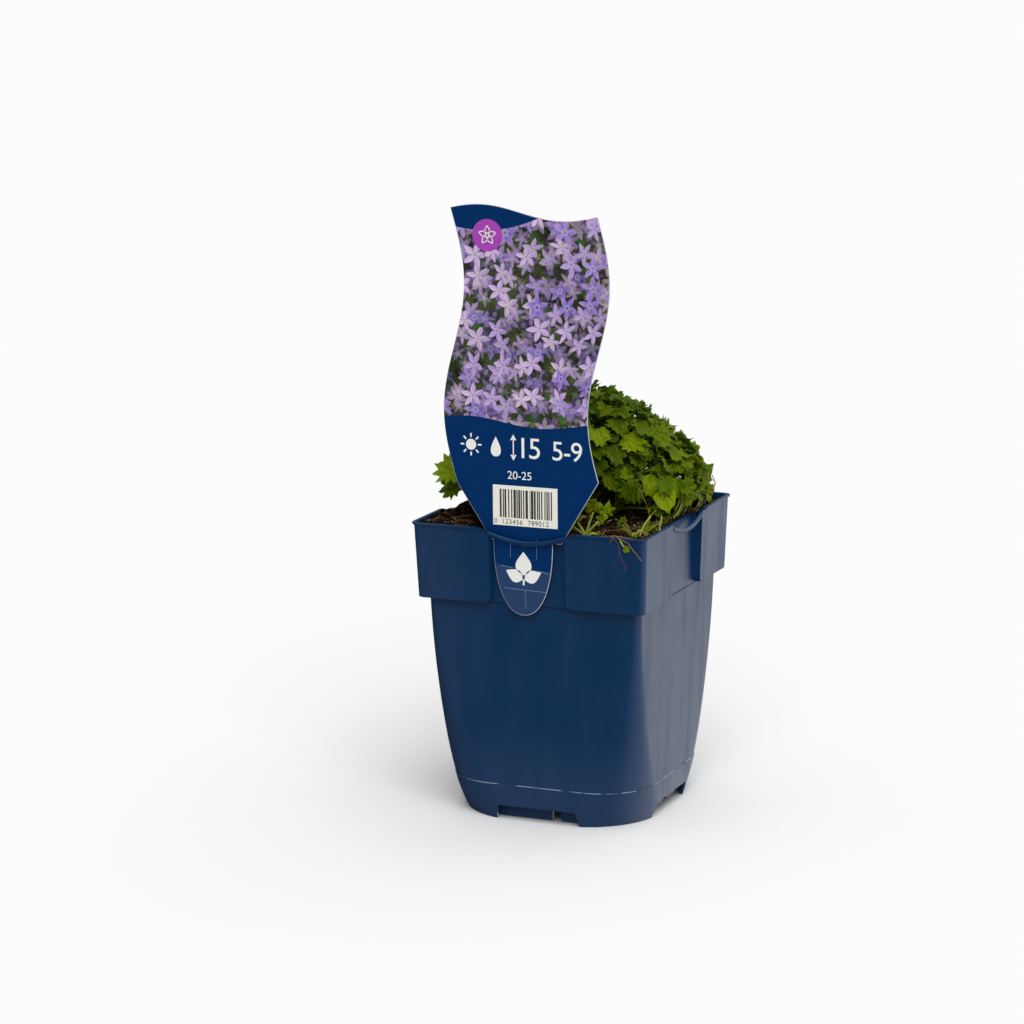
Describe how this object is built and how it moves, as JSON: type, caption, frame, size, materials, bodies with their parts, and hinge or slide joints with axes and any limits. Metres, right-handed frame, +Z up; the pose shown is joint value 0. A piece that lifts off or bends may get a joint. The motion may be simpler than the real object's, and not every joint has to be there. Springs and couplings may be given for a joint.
{
  "type": "potted bellflower",
  "caption": "Low cushion of small toothed bellflower leaves in a square plastic nursery pot with compost, seedlings and a wavy stick-in picture label.",
  "frame": {"origin": "middle of the pot's footprint, on the ground", "axes": "+Z up, the label stands at the -Y side and faces -Y"},
  "size_m": [0.1101, 0.11, 0.2729],
  "materials": {
    "pot_plastic": "navy blue moulded plastic with a soft sheen",
    "label_card": "printed thin plastic card, navy and lilac, semi gloss",
    "compost": "dark moist peat compost with brown fibres",
    "leaf": "fresh green glossy leaves",
    "young_leaf": "pale green seedlings and grass"
  },
  "bodies": {
    "root": {"pot": "pot_plastic", "soil": "compost", "label": "label_card", "leafy_shoot_01": "leaf", "leafy_shoot_02": "leaf", "leafy_shoot_03": "leaf", "leafy_shoot_04": "leaf", "leafy_shoot_05": "leaf", "leafy_shoot_06": "leaf", "leafy_shoot_07": "leaf", "leafy_shoot_08": "leaf", "leafy_shoot_09": "leaf", "leafy_shoot_10": "leaf", "leafy_shoot_11": "leaf", "leafy_shoot_12": "leaf", "leafy_shoot_13": "leaf", "leafy_shoot_14": "leaf", "leafy_shoot_15": "leaf", "seedling_1": "young_leaf", "seedling_2": "young_leaf", "grass": "young_leaf"}
  },
  "joints": []
}
